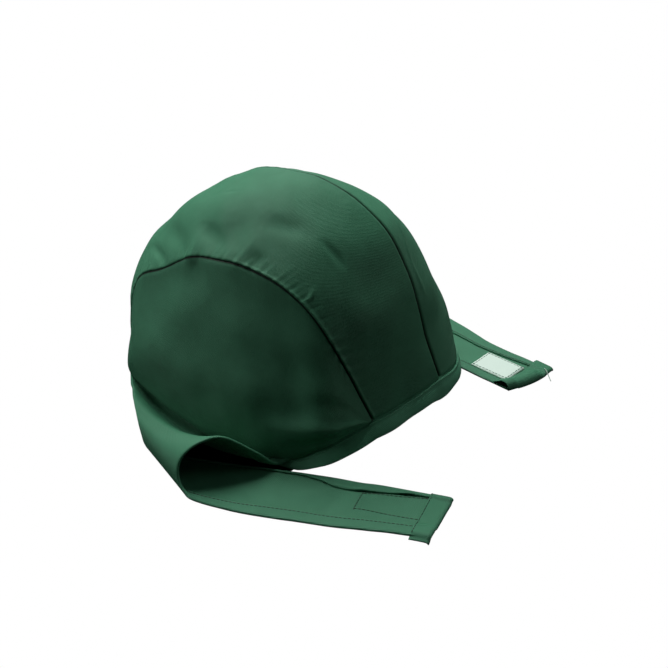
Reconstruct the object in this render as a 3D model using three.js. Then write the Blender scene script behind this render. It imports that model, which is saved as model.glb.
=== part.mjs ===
// A sewn cotton welding cap lying on a table: two side panels, a crown strip in two halves,
// a folded hem round the rim and two fastening tails that curl under and lie forward.
// Millimetres, +Z up, +X to the wearer's front, -Y to the wearer's right.

import * as THREE from 'three';

// Driving dimensions

const PANEL_CLOTH = 1.6; // wall of a sewn panel
const TAIL_CLOTH = 2.0; // a tail is two layers of cloth
const HEM_CLOTH = 2.4; // cloth folded twice
const HEM_PROUD = 0.4; // the folded hem stands this far out over the panel
const SEAM_GAP = 0.4; // clearance between neighbouring pieces

const HEM_FRONT_HEIGHT = 9.3; // hem at the middle of the forehead and the right corner
const HEM_LEFT_HEIGHT = 7.5; // hem at the left corner
const HEM_END_HEIGHT = 2.8; // hem where it runs into a tail and turns under
const HEM_FLARE = 5.0; // lower edge of the hem stands out from its upper line at the right corner
const HEM_LEFT_FLARE = 2.0; // less so at the left corner
const HEM_END_FLARE = 1.6; // and where it runs into a tail
const HEM_SIDE_FLARE = 4.5; // but further where it turns up beside the tail
const HEM_CENTRE_DROP = 3.4; // the hem hangs lower where the centre seam's layers are folded in
const HEM_CENTRE_REACH = 0.08; // over this share of the way across
const HEM_DROP = 0.7; // the hem starts this far under the panels' edge

const HOOK_PATCH = { length: 27, width: 18, thickness: 1.2 };
const LOOP_PATCH = { length: 40, width: 19, thickness: 1.2 };

// Rows of numbers under the names of their columns

function table(columns, ...rows) {
  return rows.map((row) => Object.fromEntries(columns.map((name, i) => [name, row[i]])));
}

// Ribs across the cap, from the front hem to the back edge: where each one crosses the centre seam,
// the side seam and the base of the side panel, and how far the cloth bulges between those points.
// "Out" is measured from the middle plane.

const RIBS = table(
  ['centreX', 'centreZ', 'seamX', 'seamOut', 'seamZ', 'baseX', 'baseOut', 'baseZ',
    'sideBulge', 'rightBulge', 'leftBulge'],
  [98, 35, 77.5, 46.5, 26.3, 76.8, 47.8, 25.5, 0, 2, 7],
  [88.5, 58, 62.5, 52, 60, 66, 60, 18.6, 3.5, 5, 10.5],
  [78, 94, 44.5, 54.5, 88, 55.5, 69, 11.5, 6.5, 7, 10],
  [60, 125, 23, 53.5, 102.5, 41, 73.5, 3.8, 8.5, 7, 8],
  [33, 142, -1, 53, 108.5, 20, 79.5, 3, 9, 7, 5],
  [5, 147, -19, 53, 108.5, 0, 80, 5, 9, 7, 2.5],
  [-26, 139.5, -37.5, 52.5, 105, -22, 78, 8.5, 9.5, 7, 2],
  [-57, 118.5, -58.5, 51, 91, -45, 72, 11.5, 9, 6, 4],
  [-85, 87, -77, 47, 76.5, -64, 63, 12.5, 7, 4, 4],
  [-100, 55, -84, 46, 46, -79, 54.6, 12, 3, 4, 5],
  [-101, 22, -88.5, 40, 18, -87, 45.4, 11.5, 1.5, 3, 4],
);
const LAST_RIB = RIBS.length - 1;
const TAIL_START = 3 / LAST_RIB; // the hem ends and the tail begins at this rib
const LEFT_SLUMP = 3; // the left side seam sags this much over the crown
const LEFT_BASE_RISE = 2.6; // the left side rests on its own tail
const LEFT_FRONT = { forward: 3, rise: 6, reach: 0.11 }; // the left front corner stands fuller and higher
const CAP_MIDDLE = new THREE.Vector3(0, 0, 55); // bulges point away from here
const SIDE_SKEW = 1.6; // over 1, the side panels are fullest towards their base

// Soft dents in the cap's cloth, at a place along the ribs (0 front, 1 back) and across
// (0 centre seam, 0.5 side seam, 1 base; minus is the wearer's right)

const DENTS = table(
  ['along', 'across', 'lengthAlong', 'lengthAcross', 'depth'],
  [0.68, -0.38, 0.05, 0.12, 2.2],
  [0.6, -0.34, 0.05, 0.12, 1.8],
  [0.5, -0.36, 0.05, 0.1, 1.5],
  [0.28, -0.75, 0.08, 0.12, 3.0],
  [0.62, -0.9, 0.14, 0.08, 1.0],
  [0.24, -0.25, 0.06, 0.14, 0.6],
  [0.4, 0.3, 0.08, 0.12, 2.5],
  [0.3, 0.7, 0.1, 0.12, 2.5],
);

// Sections of a tail from the side panel's base to its end: rear and front edge of the cloth's middle,
// and how far the section bows out and up between them. It runs outward, rolls under and lies forward.

const TAIL_SECTIONS = table(
  ['rearX', 'rearOut', 'rearZ', 'frontX', 'frontOut', 'frontZ', 'bow', 'lift'],
  [-76.5, 62.5, 14, 34.5, 82, 4.5, 12, -3],
  [-69.5, 69, 16.5, 28, 92, 16, 9, -6],
  [-63, 78.5, 17.5, 14.5, 105, 30, 4, -7],
  [-56.5, 86.5, 16, 4.7, 113.5, 29, 1, -5],
  [-50, 93.5, 13.5, -2.5, 120, 22.5, 0, -2],
  [-45, 98, 9.5, -4.4, 124, 15, 0, 0],
  [-41.5, 100.5, 5.5, -2.2, 126.6, 8, 0, 0],
  [-37.5, 101, 2.7, 2.9, 128.8, 3.6, 0, 0],
  [-30, 99.5, 1.3, 11, 130.3, 1.5, 0, 0],
  [4, 92, 1, 38, 127.3, 1, 0, 0],
  [62, 76.5, 1, 70, 119.8, 1, 0, 0],
  [84, 72.3, 1, 90, 113.7, 1, 0, 0],
  [98, 68.5, 1, 106, 108.8, 1, 0, 0],
  [136, 61.5, 1, 140, 100.7, 1, 0, 0],
);
const ROLL_SECTIONS = 8; // sections before the cloth lies on the table
const SHIFT_SECTIONS = 3; // a tail set further back slides over this many sections

// Each tail: which side, how far back it is set, its turn towards the middle, how far the outer corner
// of its end reaches past the inner one, the rise of its end over the loop patch sewn beneath it, and
// how much narrower it lies at each edge from the ninth section on

const PATCH_RISE = LOOP_PATCH.thickness + SEAM_GAP;
const RIGHT_TAIL = { side: -1, setBack: 0, turnDegrees: 0, endSkew: 0, endRise: PATCH_RISE,
  rearTrims: { 11: 2, 12: 2, 13: 2 }, frontTrims: {} };
const LEFT_TAIL = { side: 1, setBack: 14, turnDegrees: 4.5, endSkew: 10, endRise: 0,
  rearTrims: {}, frontTrims: { 9: 2, 10: 4, 11: 6, 12: 6, 13: 3.5 } };
const END_RISE = { fromX: 66, toX: 84 }; // the cloth climbs onto the patch between these places

// Mesh density

const RIB_STEPS = 30;
const CROWN_STEPS = 9;
const SIDE_STEPS = 10;
const TAIL_STEPS = 54;
const TAIL_WIDTH_STEPS = 8;
const HEM_SIDE_STEPS = 10;
const HEM_FRONT_STEPS = 18;

// Smooth curves and the cap's outer surface

const CURVE_TENSION = 0.5;
const SLOPE_STEP = 0.012; // share of a surface over which its slope is measured

const smoothCurve = (points) => new THREE.CatmullRomCurve3(points, false, 'catmullrom', CURVE_TENSION);

function ribCurve(x, out, z) {
  return smoothCurve(RIBS.map((row) => new THREE.Vector3(row[x] ?? 0, row[out] ?? 0, row[z] ?? 0)));
}

const centreSeam = ribCurve('centreX', null, 'centreZ');
const sideSeam = ribCurve('seamX', 'seamOut', 'seamZ');
const panelBase = ribCurve('baseX', 'baseOut', 'baseZ');
const bulges = ribCurve('sideBulge', 'rightBulge', 'leftBulge');

// Height of an arch of height 1 over a span, at a share of it
const arch = (share) => 4 * share * (1 - share);

function bowed(start, end, share, bulge, skew = 1) {
  const middle = start.clone().lerp(end, 0.5);
  const outward = middle.sub(CAP_MIDDLE).normalize();
  return start.clone().lerp(end, share).addScaledVector(outward, bulge * arch(share ** skew));
}

function dentDepth(along, across) {
  return DENTS.reduce((sum, dent) => {
    const a = (along - dent.along) / dent.lengthAlong;
    const b = (across - dent.across) / dent.lengthAcross;
    return sum + dent.depth * Math.exp(-(a * a + b * b));
  }, 0);
}

// along: 0 front to 1 back; across: -1 right base, 0 centre seam, 1 left base
function capPoint(along, across) {
  const onRight = across < 0;
  const seam = sideSeam.getPoint(along);
  const base = panelBase.getPoint(along);
  if (!onRight) {
    const front = Math.exp(-((along / LEFT_FRONT.reach) ** 2));
    const lift = new THREE.Vector3(LEFT_FRONT.forward, 0, LEFT_FRONT.rise).multiplyScalar(front);
    seam.add(lift).setZ(seam.z - LEFT_SLUMP * Math.sin(Math.PI * along));
    base.add(lift).setZ(base.z + LEFT_BASE_RISE);
  }
  const bulge = bulges.getPoint(along);
  const share = Math.abs(across) * 2;
  const point = share <= 1
    ? bowed(centreSeam.getPoint(along), seam, share, onRight ? bulge.y : bulge.z)
    : bowed(seam, base, share - 1, bulge.x, SIDE_SKEW);
  const outward = point.clone().sub(CAP_MIDDLE).normalize();
  point.addScaledVector(outward, -dentDepth(along, across));
  point.y *= onRight ? -1 : 1;
  return point;
}

// Unit normal of a surface, by small differences that stay inside its limits
function normalOf(surface, a, b, limits) {
  const clampA = (value) => THREE.MathUtils.clamp(value, limits.a[0], limits.a[1]);
  const clampB = (value) => THREE.MathUtils.clamp(value, limits.b[0], limits.b[1]);
  const alongA = surface(clampA(a + SLOPE_STEP), b).sub(surface(clampA(a - SLOPE_STEP), b));
  const alongB = surface(a, clampB(b + SLOPE_STEP)).sub(surface(a, clampB(b - SLOPE_STEP)));
  return alongB.cross(alongA).normalize();
}

// Closed wall between an outer and an inner grid of points of the same size
function wallGeometry(outer, inner) {
  const rows = outer.length;
  const columns = outer[0].length;
  const layer = rows * columns;
  const positions = [...outer.flat(), ...inner.flat()].flatMap((point) => point.toArray());
  const index = [];
  const quad = (a, b, c, d) => index.push(a, b, c, a, c, d);
  const at = (row, column) => row * columns + column;
  for (let row = 0; row < rows - 1; row += 1) {
    for (let column = 0; column < columns - 1; column += 1) {
      const corners = [at(row, column), at(row, column + 1), at(row + 1, column + 1), at(row + 1, column)];
      quad(...corners);
      quad(...corners.reverse().map((corner) => corner + layer));
    }
  }
  const border = [];
  for (let column = 0; column < columns - 1; column += 1) border.push(at(0, column));
  for (let row = 0; row < rows - 1; row += 1) border.push(at(row, columns - 1));
  for (let column = columns - 1; column > 0; column -= 1) border.push(at(rows - 1, column));
  for (let row = rows - 1; row > 0; row -= 1) border.push(at(row, 0));
  border.forEach((corner, i) => {
    const next = border[(i + 1) % border.length];
    quad(next, corner, corner + layer, next + layer);
  });
  const geometry = new THREE.BufferGeometry();
  geometry.setAttribute('position', new THREE.Float32BufferAttribute(positions, 3));
  geometry.setIndex(index);
  geometry.computeVertexNormals();
  return geometry;
}

// Grid of points over a surface, pushed along its normal by an offset; rangeB(a) gives each row's limits
function offsetGrid(surface, limits, rangeA, rangeB, stepsA, stepsB, offset) {
  const grid = [];
  for (let i = 0; i <= stepsA; i += 1) {
    const a = THREE.MathUtils.lerp(rangeA[0], rangeA[1], i / stepsA);
    const [startB, endB] = rangeB(a);
    const row = [];
    for (let j = 0; j <= stepsB; j += 1) {
      const b = THREE.MathUtils.lerp(startB, endB, j / stepsB);
      row.push(surface(a, b).addScaledVector(normalOf(surface, a, b, limits), offset));
    }
    grid.push(row);
  }
  return grid;
}

// Materials

const greenCotton = (name) => new THREE.MeshStandardMaterial({ name, color: '#2f6b4e', roughness: 0.85 });
const whiteTape = (name) => new THREE.MeshStandardMaterial({ name, color: '#d2e8da', roughness: 0.9 });

function piece(name, geometry, material) {
  const mesh = new THREE.Mesh(geometry, material);
  mesh.name = name;
  return mesh;
}

// Sewn panels of the cap

const CAP_LIMITS = { a: [0, 1], b: [-1, 1] };
const CORNER_TRIM = 0.012; // the side panel's front corner is cut just short of a point

// One panel between two lines across the ribs, drawn in by half a seam gap at each
function capPanel(name, side, fromAcross, toAcross, startAlong, stepsAcross) {
  const rangeAcross = (along) => {
    const width = capPoint(along, side * fromAcross).distanceTo(capPoint(along, side * toAcross));
    const trim = (toAcross - fromAcross) * (SEAM_GAP / 2 / width);
    return [side * (fromAcross + trim), side * (toAcross - trim)].sort((a, b) => a - b);
  };
  const grid = (offset) => offsetGrid(
    capPoint, CAP_LIMITS, [startAlong, 1], rangeAcross, RIB_STEPS, stepsAcross, offset,
  );
  return piece(name, wallGeometry(grid(0), grid(-PANEL_CLOTH)), greenCotton('cotton'));
}

const crownPanel = (name, side) => capPanel(name, side, 0, 0.5, 0, CROWN_STEPS);
const sidePanel = (name, side) => capPanel(name, side, 0.5, 1, CORNER_TRIM, SIDE_STEPS);

// Tails

function tailSections(tail) {
  const turn = THREE.MathUtils.degToRad(tail.turnDegrees);
  const pivotRow = TAIL_SECTIONS[ROLL_SECTIONS];
  const pivotX = (pivotRow.rearX + pivotRow.frontX) / 2;
  const pivotOut = (pivotRow.rearOut + pivotRow.frontOut) / 2;
  const place = (x, out, z, index) => {
    const turned = index > ROLL_SECTIONS ? turn : 0;
    const dx = x - pivotX;
    const dOut = out - pivotOut;
    const placedX = pivotX + dx * Math.cos(turned) + dOut * Math.sin(turned);
    const placedOut = pivotOut + dOut * Math.cos(turned) - dx * Math.sin(turned);
    const back = tail.setBack * Math.min(1, (index + 1) / SHIFT_SECTIONS);
    const rise = tail.endRise * THREE.MathUtils.smoothstep(x, END_RISE.fromX, END_RISE.toX);
    return new THREE.Vector3(placedX - back, placedOut * tail.side, z + rise);
  };
  const sections = TAIL_SECTIONS.map((row, index) => ({
    rear: place(row.rearX, row.rearOut + (tail.rearTrims[index] ?? 0), row.rearZ, index),
    front: place(row.frontX, row.frontOut - (tail.frontTrims[index] ?? 0), row.frontZ, index),
    bow: row.bow * tail.side,
    lift: row.lift,
  }));
  sections.at(-1).front.x += tail.endSkew;
  return sections;
}

// along: 0 at the side panel's base to 1 at the end; across: 0 rear edge to 1 front edge
function tailSurface(tail) {
  const sections = tailSections(tail);
  return (along, across) => {
    const along0 = THREE.MathUtils.lerp(1, TAIL_START, across);
    const outward = normalOf(capPoint, along0, tail.side, CAP_LIMITS);
    const base = capPoint(along0, tail.side).addScaledVector(outward, TAIL_CLOTH / 2 + 2 * SEAM_GAP);
    const points = sections.map(({ rear, front, bow, lift }) => {
      const point = rear.clone().lerp(front, across);
      point.y += bow * arch(across);
      point.z += lift * arch(across);
      return point;
    });
    const point = smoothCurve([base, ...points]).getPoint(along);
    return point.setZ(Math.max(point.z, TAIL_CLOTH / 2));
  };
}

const TAIL_LIMITS = { a: [0, 1], b: [0, 1] };

function tailPiece(name, tail) {
  const surface = tailSurface(tail);
  const across = () => (tail.side < 0 ? [1, 0] : [0, 1]);
  const grid = (offset) => offsetGrid(
    surface, TAIL_LIMITS, [0, 1], across, TAIL_STEPS, TAIL_WIDTH_STEPS, offset * tail.side,
  );
  return piece(name, wallGeometry(grid(TAIL_CLOTH / 2), grid(-TAIL_CLOTH / 2)), greenCotton('cotton'));
}

// Hem round the rim, from one tail to the other by way of the forehead

function hemStations() {
  const stations = [];
  const side = (across, cornerHeight, cornerFlare, i) => {
    const share = i / HEM_SIDE_STEPS;
    const along = THREE.MathUtils.lerp(TAIL_START, CORNER_TRIM, share);
    const height = THREE.MathUtils.lerp(HEM_END_HEIGHT, cornerHeight, share);
    const flare = THREE.MathUtils.lerp(HEM_END_FLARE, cornerFlare, share) + HEM_SIDE_FLARE * arch(share);
    stations.push({ along, across, height, flare });
  };
  for (let i = 0; i <= HEM_SIDE_STEPS; i += 1) side(-1, HEM_FRONT_HEIGHT, HEM_FLARE, i);
  for (let i = 0; i <= HEM_FRONT_STEPS; i += 1) {
    const across = i / HEM_FRONT_STEPS - 0.5;
    const drop = HEM_CENTRE_DROP * Math.exp(-((across / HEM_CENTRE_REACH) ** 2));
    const height = THREE.MathUtils.lerp(HEM_FRONT_HEIGHT, HEM_LEFT_HEIGHT, Math.max(0, across * 2)) + drop;
    const flare = THREE.MathUtils.lerp(HEM_FLARE, HEM_LEFT_FLARE, i / HEM_FRONT_STEPS);
    stations.push({ along: 0, across, height, flare });
  }
  for (let i = HEM_SIDE_STEPS; i >= 0; i -= 1) side(1, HEM_LEFT_HEIGHT, HEM_LEFT_FLARE, i);
  return stations;
}

function rimHem(name) {
  const outer = [];
  const inner = [];
  hemStations().forEach((station) => {
    const { along, height, flare } = station;
    const line = capPoint(along, station.across);
    const normal = normalOf(capPoint, along, station.across, CAP_LIMITS);
    const outward = line.clone().setZ(0).normalize();
    const bottom = line.clone().addScaledVector(outward, flare);
    bottom.setZ(Math.max(line.z - height, 0));
    const down = bottom.clone().sub(line).normalize();
    const top = line.clone().addScaledVector(down, HEM_DROP);
    const across = (depth) => [
      top.clone().addScaledVector(normal, depth), bottom.clone().addScaledVector(outward, depth),
    ];
    outer.push(across(HEM_PROUD));
    inner.push(across(HEM_PROUD - HEM_CLOTH));
  });
  return piece(name, wallGeometry(outer, inner), greenCotton('cotton'));
}

// Hook-and-loop patches, flat on the cloth that lies on the table

function patchPiece(name, size, x, y, z, turnDegrees) {
  const mesh = piece(name, new THREE.BoxGeometry(size.length, size.width, size.thickness), whiteTape('tape'));
  mesh.position.set(x, y, z);
  mesh.rotation.z = THREE.MathUtils.degToRad(turnDegrees);
  return mesh;
}

const HOOK_PLACE = { x: 102, y: 74, turnDegrees: -13 };
const LOOP_PLACE = { x: 108, y: -86, turnDegrees: 11 };
const HOOK_HEIGHT = TAIL_CLOTH + SEAM_GAP + HOOK_PATCH.thickness / 2;
const LOOP_HEIGHT = LOOP_PATCH.thickness / 2;

const cap = new THREE.Group();
cap.add(
  crownPanel('crown_panel_right', -1),
  crownPanel('crown_panel_left', 1),
  sidePanel('side_panel_right', -1),
  sidePanel('side_panel_left', 1),
  rimHem('rim_hem'),
  tailPiece('tail_right', RIGHT_TAIL),
  tailPiece('tail_left', LEFT_TAIL),
  patchPiece('hook_patch', HOOK_PATCH, HOOK_PLACE.x, HOOK_PLACE.y, HOOK_HEIGHT, HOOK_PLACE.turnDegrees),
  patchPiece('loop_patch', LOOP_PATCH, LOOP_PLACE.x, LOOP_PLACE.y, LOOP_HEIGHT, LOOP_PLACE.turnDegrees),
);

// The part's origin is under the middle of its box, on the table
const box = new THREE.Box3().setFromObject(cap);
const middle = box.getCenter(new THREE.Vector3());
cap.position.set(-middle.x, -middle.y, -box.min.z);

export default cap;
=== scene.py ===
import math

import bpy
import numpy as np
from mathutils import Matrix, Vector


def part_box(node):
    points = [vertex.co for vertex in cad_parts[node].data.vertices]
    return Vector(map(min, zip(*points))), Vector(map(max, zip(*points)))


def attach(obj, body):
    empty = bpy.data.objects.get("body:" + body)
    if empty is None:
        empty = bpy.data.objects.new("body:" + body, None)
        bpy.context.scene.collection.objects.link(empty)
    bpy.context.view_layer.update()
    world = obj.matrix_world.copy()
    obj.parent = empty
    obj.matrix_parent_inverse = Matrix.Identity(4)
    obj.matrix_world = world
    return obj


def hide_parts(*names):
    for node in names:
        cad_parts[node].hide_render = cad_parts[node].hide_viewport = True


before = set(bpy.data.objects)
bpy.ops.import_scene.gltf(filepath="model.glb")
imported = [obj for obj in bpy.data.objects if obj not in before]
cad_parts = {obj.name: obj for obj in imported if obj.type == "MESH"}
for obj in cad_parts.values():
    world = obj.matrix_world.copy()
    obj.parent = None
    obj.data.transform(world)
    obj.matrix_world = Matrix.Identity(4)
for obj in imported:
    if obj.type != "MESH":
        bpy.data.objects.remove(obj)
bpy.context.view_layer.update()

# A sewn cotton welding cap lying on a table. Sizes are in millimetres in the table's frame,
# +X to the wearer's front and -Y to the wearer's right, and every mesh is set in metres at the end.

MM = 0.001
PANEL_CLOTH = 1.1
LAYER_CLOTH = 0.9
TAIL_CLOTH = 2.0
SEAM_GAP = 0.4
TABLE_GAP = 0.05
CURVE_TENSION = 0.5
SLOPE_STEP = 0.006
TINY = 1e-9
FULL_TURN = 2 * math.pi


def table(columns, *rows):
    """Columns of numbers under their names."""
    return dict(zip(columns, np.array(rows, float).T))


# Ribs across the cap from the front hem to the back edge, within a few millimetres of the part's source

RIBS = table(
    ("centre_x", "centre_z", "seam_x", "seam_out", "seam_z", "base_x", "base_out", "base_z",
     "side_bulge", "right_bulge", "left_bulge"),
    (98, 35, 77.5, 46.5, 26.3, 76.8, 47.8, 25.5, 0, 2, 7),
    (88.5, 58, 62.5, 52, 60, 66, 60, 18.6, 3.5, 5, 10.5),
    (78, 94, 44.5, 54.5, 88, 55.5, 69, 11.5, 6.5, 7, 9.2),
    (60, 125, 23, 53.5, 102.5, 41, 73.5, 3.8, 8.5, 7, 9.4),
    (33, 142, -1, 53, 108.5, 20, 79.5, 3, 9, 7.3, 6.8),
    (5, 147, -19, 53, 108.5, 0, 80, 5, 9, 7.8, 4),
    (-26, 139.5, -37.5, 52.5, 105, -22, 78, 8.5, 9.5, 8.4, 2),
    (-57, 118.5, -58.5, 51, 91, -45, 72, 11.5, 9, 8, 4),
    (-85, 87, -77, 47, 76.5, -64, 63, 12.5, 7, 6, 4),
    (-100, 55, -84, 46, 46, -79, 54.6, 12, 3, 4, 5),
    (-101, 22, -88.5, 40, 18, -87, 45.4, 11.5, 1.5, 3, 4),
)
RIB_COUNT = len(RIBS["centre_x"])
TAIL_RIB = 3
TAIL_START = TAIL_RIB / (RIB_COUNT - 1)
LEFT_SLUMP = 3
LEFT_BASE_RISE = 2.6
LEFT_FRONT_LIFT = np.array([3.0, 0.0, 6.0])
LEFT_FRONT_REACH = 0.11
CAP_MIDDLE = np.array([0.0, 0.0, 55.0])
LEVEL = np.array([1.0, 1.0, 0.0])
CORNER_TRIM = 0.012
SIDE_SKEW = 1.6

# Soft dents of the cap's cloth: place along and across, size and depth

DENTS = table(
    ("along", "across", "length_along", "length_across", "depth"),
    (0.68, -0.38, 0.05, 0.12, 2.2),
    (0.6, -0.34, 0.05, 0.12, 1.8),
    (0.5, -0.36, 0.05, 0.1, 1.5),
    (0.28, -0.75, 0.08, 0.12, 3.0),
    (0.62, -0.9, 0.14, 0.08, 1.0),
    (0.24, -0.25, 0.06, 0.14, 0.6),
    (0.4, 0.3, 0.08, 0.12, 2.5),
    (0.3, 0.7, 0.1, 0.12, 2.5),
)

# Sections of a tail from the side panel's base to its end, within a few millimetres of the part's source

TAIL_SECTIONS = table(
    ("rear_x", "rear_out", "rear_z", "front_x", "front_out", "front_z", "bow", "lift"),
    (-75.5, 61.5, 14, 34.5, 82, 4.5, 12, -3),
    (-69.5, 69, 16.5, 28, 92, 16, 9, -6),
    (-63, 78.5, 17.5, 14.5, 105, 30, 4, -7),
    (-56.5, 86.5, 16, 4.7, 113.5, 29, 1, -5),
    (-50, 93.5, 13.5, -2.5, 120, 22.5, 0, -2),
    (-45, 98, 9.5, -4.4, 124, 15, 0, 0),
    (-41.5, 100.5, 5.5, -2.2, 126.6, 8, 0, 0),
    (-37.5, 101, 2.7, 2.9, 128.8, 3.6, 0, 0),
    (-30, 99.5, 1.3, 11, 130.3, 1.5, 0, 0),
    (4, 92, 1, 38, 127.3, 1, 0, 0),
    (62, 76.5, 1, 70, 119.8, 1, 0, 0),
    (84, 72.3, 1, 90, 113.7, 1, 0, 0),
    (98, 68.5, 1, 106, 108.8, 1, 0, 0),
    (136, 61.5, 1, 140, 100.7, 1, 0, 0),
)
ROLL_SECTIONS = 8
SHIFT_SECTIONS = 3
LOOP_PATCH = {"length": 40, "width": 19, "thickness": 1.2, "x": 108, "y": -86, "turn": 11}
HOOK_PATCH = {"length": 27, "width": 18, "thickness": 1.2, "x": 102, "y": 74, "turn": -13}
RIGHT_TAIL = {"name": "tail_right", "side": -1, "set_back": 0, "turn": 0, "end_skew": 0,
              "end_rise": LOOP_PATCH["thickness"] + SEAM_GAP,
              "rear_trims": {11: 2, 12: 2, 13: 2}, "front_trims": {11: -2.5, 12: -2}}
LEFT_TAIL = {"name": "tail_left", "side": 1, "set_back": 14, "turn": 4.5, "end_skew": 7.5,
             "end_rise": 0,
             "rear_trims": {11: 0.4, 12: 3, 13: 4},
             "front_trims": {9: 2, 10: 4, 11: 4.5, 12: 4.5, 13: 3.5}}
END_RISE_FROM = 66
END_RISE_TO = 84

hook_low, hook_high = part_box("hook_patch")
hook_middle = (np.array(hook_low) + np.array(hook_high)) / 2 / MM
ORIGIN = np.array([HOOK_PATCH["x"] - hook_middle[0], HOOK_PATCH["y"] - hook_middle[1], 0.0])

# Curves and surfaces


def arch(share):
    """Height of an arch of height 1 at a share of its span."""
    return 4 * share * (1 - share)


def between(start, end, share):
    """A value at a share of the way from one to another."""
    return start + (end - start) * share


def smooth_step(value, start, end):
    share = np.clip((value - start) / (end - start), 0, 1)
    return share * share * (3 - 2 * share)


def unit(vectors):
    return vectors / np.maximum(np.linalg.norm(vectors, axis=-1, keepdims=True), TINY)


def smooth_curve(points, share):
    """Places on a smooth curve through control points, at shares from 0 to 1 of it."""
    points = np.asarray(points, float)
    if points.ndim == 2:
        points = np.repeat(points[:, None], len(share), axis=1)
    last = len(points) - 1
    place = np.clip(share, 0, 1) * last
    index = np.minimum(place.astype(int), last - 1)
    weight = (place - index)[:, None]
    padded = np.concatenate([[2 * points[0] - points[1]], points, [2 * points[-1] - points[-2]]])
    column = np.arange(len(share))
    before, start, end, after = (padded[index + step, column] for step in range(4))
    leaving = CURVE_TENSION * (end - before)
    arriving = CURVE_TENSION * (after - start)
    square = 3 * (end - start) - 2 * leaving - arriving
    cube = 2 * (start - end) + leaving + arriving
    return start + leaving * weight + square * weight**2 + cube * weight**3


def rib_points(x, out, z):
    zero = np.zeros(RIB_COUNT)
    return np.stack([RIBS.get(name, zero) for name in (x, out, z)], axis=1)


CENTRE_SEAM = rib_points("centre_x", "", "centre_z")
SIDE_SEAM = rib_points("seam_x", "seam_out", "seam_z")
PANEL_BASE = rib_points("base_x", "base_out", "base_z")
BULGES = rib_points("side_bulge", "right_bulge", "left_bulge")


def bowed(start, end, share, bulge, skew=1.0):
    """Places on lines bowed away from the cap's middle, fullest late on where the skew is over 1."""
    outward = unit((start + end) / 2 - CAP_MIDDLE)
    return between(start, end, share[:, None]) + outward * (bulge * arch(share ** skew))[:, None]


def soft_bumps(rows, first, second):
    """Sum of the soft bumps in a table's rows, each with its place, reaches and height."""
    total = np.zeros_like(first)
    for a, b, reach_a, reach_b, high in zip(*rows.values()):
        total += high * np.exp(-((first - a) / reach_a) ** 2 - ((second - b) / reach_b) ** 2)
    return total


def cap_point(along, across):
    """Outer surface of the cap: along 0 front to 1 back, across -1 right base, 0 centre, 1 left base."""
    along = np.clip(along, 0, 1)
    left = (across >= 0).astype(float)
    front = (left * np.exp(-((along / LEFT_FRONT_REACH) ** 2)))[:, None] * LEFT_FRONT_LIFT
    seam = smooth_curve(SIDE_SEAM, along) + front
    seam[:, 2] -= left * LEFT_SLUMP * np.sin(math.pi * along)
    base = smooth_curve(PANEL_BASE, along) + front
    base[:, 2] += left * LEFT_BASE_RISE
    bulge = smooth_curve(BULGES, along)
    crown_bulge = np.where(left > 0, bulge[:, 2], bulge[:, 1])
    share = np.abs(across) * 2
    crown = bowed(smooth_curve(CENTRE_SEAM, along), seam, np.minimum(share, 1), crown_bulge)
    side = bowed(seam, base, np.clip(share - 1, 0, 1), bulge[:, 0], SIDE_SKEW)
    point = np.where((share <= 1)[:, None], crown, side)
    point -= unit(point - CAP_MIDDLE) * soft_bumps(DENTS, along, across)[:, None]
    point[:, 1] *= np.where(left > 0, 1, -1)
    return point


def surface_normal(surface, along, across, low, high):
    """Unit normal of a surface whose second share runs from low to high."""
    slope_a = (surface(np.minimum(along + SLOPE_STEP, 1), across)
               - surface(np.maximum(along - SLOPE_STEP, 0), across))
    slope_b = (surface(along, np.minimum(across + SLOPE_STEP, high))
               - surface(along, np.maximum(across - SLOPE_STEP, low)))
    return unit(np.cross(slope_b, slope_a))


def cap_normal(along, across):
    return surface_normal(cap_point, along, across, -1, 1)


def running_length(points):
    steps = np.linalg.norm(np.diff(points, axis=0), axis=-1)
    return np.concatenate([np.zeros((1,) + steps.shape[1:]), np.cumsum(steps, axis=0)])


# Relief of the sewn cloth on top of the cap's surface

SAMPLE_COUNT = 201
SAMPLES = np.linspace(0, 1, SAMPLE_COUNT)
BASE_LINE, SEAM_LINE, CENTRE_LINE = (
    cap_point(SAMPLES, np.full(SAMPLE_COUNT, across)) for across in (-1.0, -0.5, 0.0))
SEAM_LENGTH = running_length(SEAM_LINE)
CENTRE_LENGTH = running_length(CENTRE_LINE)
CROWN_WIDTH = np.linalg.norm(SEAM_LINE - CENTRE_LINE, axis=1)
SIDE_WIDTH = np.linalg.norm(BASE_LINE - SEAM_LINE, axis=1)

WAVE_SEED = 11
WAVE_COUNT = 26
WAVE_LENGTHS = (16.0, 60.0)
WAVE_HEIGHT = 0.11
random = np.random.default_rng(WAVE_SEED)
WAVE_WAYS = unit(random.normal(size=(WAVE_COUNT, 3)))
WAVE_STEPS = WAVE_WAYS * (FULL_TURN / random.uniform(*WAVE_LENGTHS, WAVE_COUNT))[:, None]
WAVE_PHASES = random.uniform(0, FULL_TURN, WAVE_COUNT)
GATHER_COUNT = 9
GATHER_LENGTHS = (3.4, 8.0)
GATHER_SHARE = 1 / 4
GATHER_STEPS = FULL_TURN / random.uniform(*GATHER_LENGTHS, GATHER_COUNT)
GATHER_PHASES = random.uniform(0, FULL_TURN, GATHER_COUNT)


def soft_waves(points):
    """Slow unevenness of lying cloth, in millimetres."""
    return WAVE_HEIGHT * np.sin(points @ WAVE_STEPS.T + WAVE_PHASES).sum(axis=1)


def gathers(length):
    """Uneven little gathers along a seam, from about -1 to 1."""
    return np.sin(length[:, None] * GATHER_STEPS + GATHER_PHASES).sum(axis=1) * GATHER_SHARE


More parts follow.
